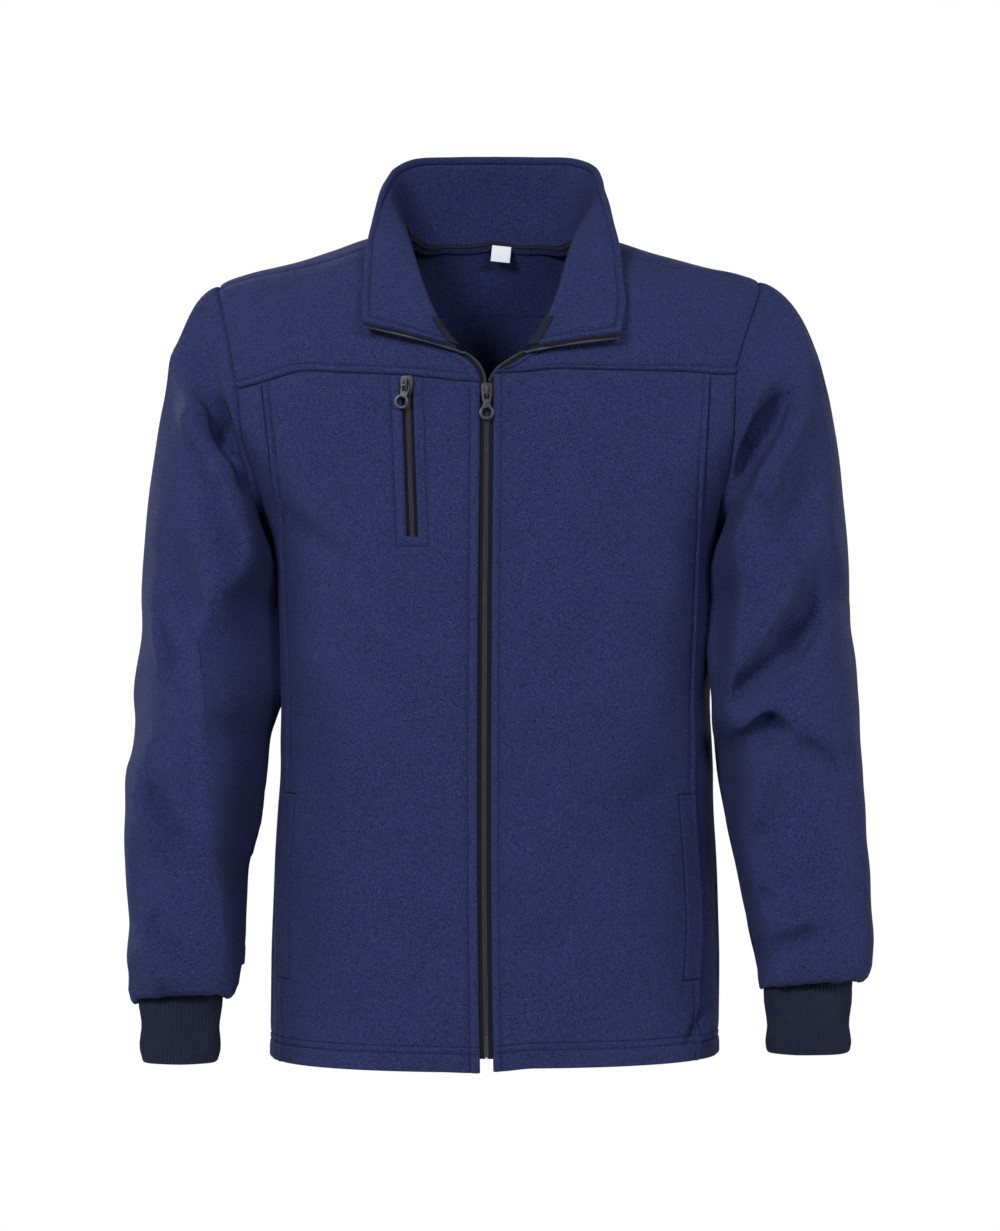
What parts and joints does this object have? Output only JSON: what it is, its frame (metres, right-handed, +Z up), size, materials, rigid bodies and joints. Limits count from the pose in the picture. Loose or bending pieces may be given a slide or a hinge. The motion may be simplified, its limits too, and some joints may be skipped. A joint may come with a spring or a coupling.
{
  "type": "fleece zip jacket",
  "caption": "Hollow fleece jacket with a stand collar, a full front zip, a zipped chest pocket, shaped panels, long sleeves and ribbed cuffs.",
  "frame": {"origin": "between the shoulders, at the height of the neck's side points, where the jacket rests on its wearer", "axes": "+X to the wearer's left, -Y to the front, +Z up along the body"},
  "size_m": [0.6145, 0.2497, 0.7616],
  "materials": {
    "fleece": "brushed short nap",
    "rib": "ribbed knit",
    "tape": "woven",
    "neck": "woven",
    "zinc": "satin",
    "label": "satin woven"
  },
  "bodies": {
    "jacket": {"back_panel": "fleece", "back_yoke": "fleece", "collar_inner": "fleece", "collar_outer": "fleece", "collar_zip_tape_left": "tape", "collar_zip_tape_right": "tape", "cuff_left": "rib", "cuff_right": "rib", "front_panel_left": "fleece", "front_panel_right": "fleece", "front_yoke_left": "fleece", "front_yoke_right": "fleece", "neck_tape": "neck", "neck_tape_end_left": "neck", "neck_tape_end_right": "neck", "pocket_zip_slider": "zinc", "pocket_zip_tape": "tape", "side_panel_left": "fleece", "side_panel_right": "fleece", "size_label": "label", "sleeve_left": "fleece", "sleeve_right": "fleece", "zip_slider": "zinc", "zip_tape_left": "tape", "zip_tape_right": "tape"},
    "zip_pull_tab": {"zip_pull": "zinc"},
    "pocket_zip_pull_tab": {"pocket_zip_pull": "zinc"}
  },
  "joints": [
    {"name": "zip_pull_hinge", "type": "hinge", "parent": "jacket", "child": "zip_pull_tab", "pos_m": [-0.00565, -0.12354, -0.1337], "axis": [-1, 0, 0], "range_deg": [0, 120]},
    {"name": "pocket_zip_pull_hinge", "type": "hinge", "parent": "jacket", "child": "pocket_zip_pull_tab", "pos_m": [-0.07052, -0.12207, -0.1277], "axis": [-0.9536, 0.1215, 0.2756], "range_deg": [0, 110]}
  ]
}
